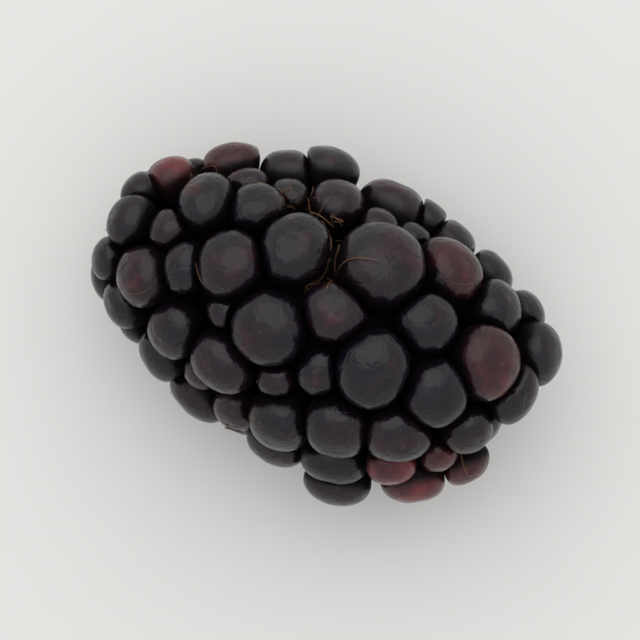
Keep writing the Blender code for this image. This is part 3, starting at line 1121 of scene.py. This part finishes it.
@dataclass
class DriedStyles:
    """Fine dried threads: single ones that lie over the beads, and tufts in a few creases."""

    cluster: BeadCluster
    share_of_beads: float = 0.32
    thickness: float = 0.045 * MM
    taper: float = 0.7
    root_tilt: tuple[float, float] = (1.05, 1.30)
    end_tilt: tuple[float, float] = (0.55, 0.95)
    drift: tuple[float, float] = (0.5, 1.3)
    lift: tuple[float, float] = (0.05 * MM, 0.30 * MM)
    root_sink: float = 0.25
    width_range: tuple[float, float] = (0.7, 1.2)
    threads_per_mm: float = 11.0
    beads_at_spot: int = 3
    tuft_thickness: float = 0.07 * MM
    tuft_spread: float = 0.4
    tuft_stray: float = 0.45
    tuft_curl: float = 0.2
    tuft_rise: tuple[float, float, float] = (0.0, 0.0, 0.15)
    tuft_lift: tuple[float, float] = (0.05 * MM, 0.45 * MM)
    tuft_width_range: tuple[float, float] = (0.5, 1.3)
    sides: int = 6
    steps: int = 14
    seed: int = 23
    share: Array = field(init=False)
    chance: np.random.Generator = field(init=False)

    def __post_init__(self) -> None:
        """Step along a thread from 0 to 1, and start the random draws."""
        self.share = np.linspace(0.0, 1.0, self.steps)
        self.chance = np.random.default_rng(self.seed)

    def tube(self, bead: int, directions: Array, lift: Array, width: Array) -> Array:
        """A round tube carried over a bead's skin.

        Args:
            bead: The bead's number.
            directions: Unit directions of the path from the bead's middle.
            lift: The path's height over the skin.
            width: The tube's radius along the path.

        Returns:
            Its start, its rings and its end, in the order that lathe_faces takes.
        """
        radius, _ = self.cluster.reach(bead, directions)
        path = self.cluster.middles[bead] + directions * (radius + lift)[:, None]
        along = unit(np.gradient(path, axis=0))
        side = unit(np.cross(along, directions))
        up = np.cross(side, along)
        angle = np.arange(self.sides) / self.sides * math.tau
        circle = np.stack([np.cos(angle), np.sin(angle)], axis=1)
        ring = circle @ np.stack([side, up], axis=1)
        rings = path[:, None, :] + ring * width[:, None, None]
        return np.concatenate([path[:1], rings.reshape(-1, 3), path[-1:]])

    def single(self, bead: int) -> Array:
        """A thread from low on a bead's flank up over it, sunk at its root and free at its end.

        Args:
            bead: The bead's number.

        Returns:
            The thread's points.
        """
        chance = self.chance
        low, high = chance.uniform(*self.root_tilt), chance.uniform(*self.end_tilt)
        tilt = low + (high - low) * self.share
        drift = chance.choice([-1.0, 1.0]) * chance.uniform(*self.drift)
        swing = chance.random() * math.tau + drift * self.share
        flat = np.sin(tilt)
        local = np.stack([flat * np.cos(swing), flat * np.sin(swing), np.cos(tilt)], axis=1)
        lift = chance.uniform(*self.lift) * (self.share**2 - self.root_sink)
        width = self.thickness * (1.0 - self.taper * self.share) * chance.uniform(*self.width_range)
        return self.tube(bead, local @ self.cluster.axes[bead], lift, width)

    def tuft(self, along: float, across: float, reach: float) -> list[Array]:
        """A tuft of short curled threads round a dry spot.

        Args:
            along: The spot's place along the berry.
            across: Its place across the berry.
            reach: How far the tuft spreads.

        Returns:
            The threads' points, one array to a thread.
        """
        chance = self.chance
        spot = self.cluster.surface.raised(np.array([along]), np.array([across]))[0]
        room = np.linalg.norm(self.cluster.middles - spot, axis=1) - self.cluster.halves.mean(axis=1)
        nearest = np.argsort(room)[:self.beads_at_spot]
        threads = []
        for _ in range(int(reach / MM * self.threads_per_mm)):
            bead = int(chance.choice(nearest))
            root = spot + chance.normal(size=3) * reach * self.tuft_spread
            start = unit(root - self.cluster.middles[bead])
            end = unit(start + chance.normal(size=3) * self.tuft_stray + self.tuft_rise)
            bend = chance.normal(size=3) * self.tuft_curl * np.sin(self.share * math.pi)[:, None]
            directions = unit(start + (end - start) * self.share[:, None] + bend)
            lift = chance.uniform(*self.tuft_lift) * self.share**2
            swell = chance.uniform(*self.tuft_width_range)
            width = self.tuft_thickness * (1.0 - self.taper * self.share) * swell
            threads.append(self.tube(bead, directions, lift, width))
        return threads

    def build(self, finish: bpy.types.Material) -> bpy.types.Object:
        """Make every thread, as one piece.

        Args:
            finish: The threads' material.

        Returns:
            The new piece.
        """
        drawn = self.chance.random(len(self.cluster.middles))
        beads = np.flatnonzero(drawn < self.share_of_beads)
        threads = [self.single(bead) for bead in beads]
        for along, across, reach in DRY_SPOTS:
            threads += self.tuft(along * MM, across * MM, reach * MM)
        shape = lathe_faces(self.steps, self.sides)
        size = len(threads[0])
        faces = [
            [corner + size * turn for corner in face] for turn in range(len(threads)) for face in shape
        ]
        points = np.concatenate(threads) + self.cluster.shift
        points[:, 2] = np.maximum(points[:, 2], FLOOR_GAP)
        reach = np.concatenate([[0.0], np.repeat(self.share, self.sides), [1.0]])
        piece = make_piece("dried_styles", points, faces, {"reach": np.tile(reach, len(threads))})
        piece.data.materials.append(finish)
        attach(piece, BODY)
        return piece


@dataclass
class Studio:
    """The pale table that curves up into a backdrop, the soft lights and the camera."""

    flat_radius: float = 0.45
    wall_radius: float = 0.85
    wall_height: float = 0.55
    climb_power: float = 2.2
    ring_crowding: float = 1.2
    rings: int = 48
    around: int = 96
    softbox_size: float = 1.1
    softbox_place: tuple[float, float, float] = (-0.20, 0.32, 0.62)
    softbox_turn: tuple[float, float, float] = (-0.46, -0.30, 0.0)
    softbox_power: float = 2.05
    fill_strength: float = 0.725
    fill_colour: Colour = (0.985, 0.990, 1.0, 1.0)
    lens: float = 200.0
    sensor: float = 36.0
    berry_share_of_frame: float = 0.74
    framed_height_share: float = 0.6
    berry_turn: float = math.radians(26.0)

    def table(self, finish: bpy.types.Material) -> bpy.types.Object:
        """A round sheet, level in the middle, that rises to its rim as a smooth step.

        Args:
            finish: The table's material.

        Returns:
            The sheet.
        """
        share = np.linspace(0.0, 1.0, self.rings) ** self.ring_crowding
        radius = share * self.wall_radius
        climb = np.clip((radius - self.flat_radius) / (self.wall_radius - self.flat_radius), 0.0, 1.0)
        height = self.wall_height * climb**self.climb_power
        angle = np.arange(self.around) / self.around * math.tau
        across = radius[1:, None] * np.cos(angle)
        away = radius[1:, None] * np.sin(angle)
        rings = np.stack([across, away, np.broadcast_to(height[1:, None], across.shape)], axis=-1)
        points = np.concatenate([[[0.0, 0.0, 0.0]], rings.reshape(-1, 3)])
        grid = 1 + np.arange((self.rings - 1) * self.around).reshape(self.rings - 1, self.around)
        turned = np.roll(grid, -1, axis=1)
        quads = np.stack([grid[:-1], grid[1:], turned[1:], turned[:-1]], axis=-1).reshape(-1, 4)
        fan = np.stack([np.zeros(self.around, int), grid[0], turned[0]], axis=-1)
        sheet = make_piece("table", points, quads.tolist() + fan.tolist(), {})
        sheet.data.materials.append(finish)
        return sheet

    def lights(self) -> None:
        """One wide softbox overhead, and an even pale glow from all round."""
        lamp = bpy.data.lights.new("softbox", "AREA")
        lamp.shape = "DISK"
        lamp.size = self.softbox_size
        lamp.energy = self.softbox_power
        softbox = bpy.data.objects.new("softbox", lamp)
        softbox.location = self.softbox_place
        softbox.rotation_euler = self.softbox_turn
        bpy.context.scene.collection.objects.link(softbox)
        world = bpy.data.worlds.new("studio")
        world.use_nodes = True
        glow = world.node_tree.nodes["Background"]
        glow.inputs["Color"].default_value = self.fill_colour
        glow.inputs["Strength"].default_value = self.fill_strength
        bpy.context.scene.world = world

    def camera(self) -> None:
        """A long lens straight above the berry, turned so that the berry lies aslant."""
        low, high = (np.array(corner) for corner in CAD_BOX)
        middle = (low + high) / 2.0
        view_width = (high[0] - low[0]) / self.berry_share_of_frame
        eye = bpy.data.cameras.new("above")
        eye.lens = self.lens
        eye.sensor_width = self.sensor
        camera = bpy.data.objects.new("above", eye)
        height = high[2] * self.framed_height_share + view_width * self.lens / self.sensor
        camera.location = (middle[0], middle[1], height)
        camera.rotation_euler = (0.0, 0.0, self.berry_turn)
        bpy.context.scene.collection.objects.link(camera)
        bpy.context.scene.camera = camera

    def tone(self) -> None:
        """Plain colour reproduction, with no film look."""
        bpy.context.scene.view_settings.view_transform = "Standard"
        bpy.context.scene.view_settings.look = "None"


def main() -> None:
    """Build the studio and the berry, and report each piece."""
    logging.basicConfig(level=logging.INFO, format="%(name)s: %(message)s")
    studio = Studio()
    studio.table(TableFinish().make())
    studio.lights()
    studio.camera()
    studio.tone()

    surface = CentreSurface()
    cluster = BeadCluster(surface, BeadLayout(surface))
    pieces = cluster.build(SkinFinish().make())
    pieces.append(Flesh(surface, cluster.shift).build(FleshFinish().make()))
    pieces.append(Receptacle(cluster.shift).build(PithFinish().make()))
    pieces.append(DriedStyles(cluster).build(ThreadFinish().make()))
    for piece in pieces:
        log.info("%s: %d faces", piece.name, len(piece.data.polygons))


if __name__ == "__main__":
    main()
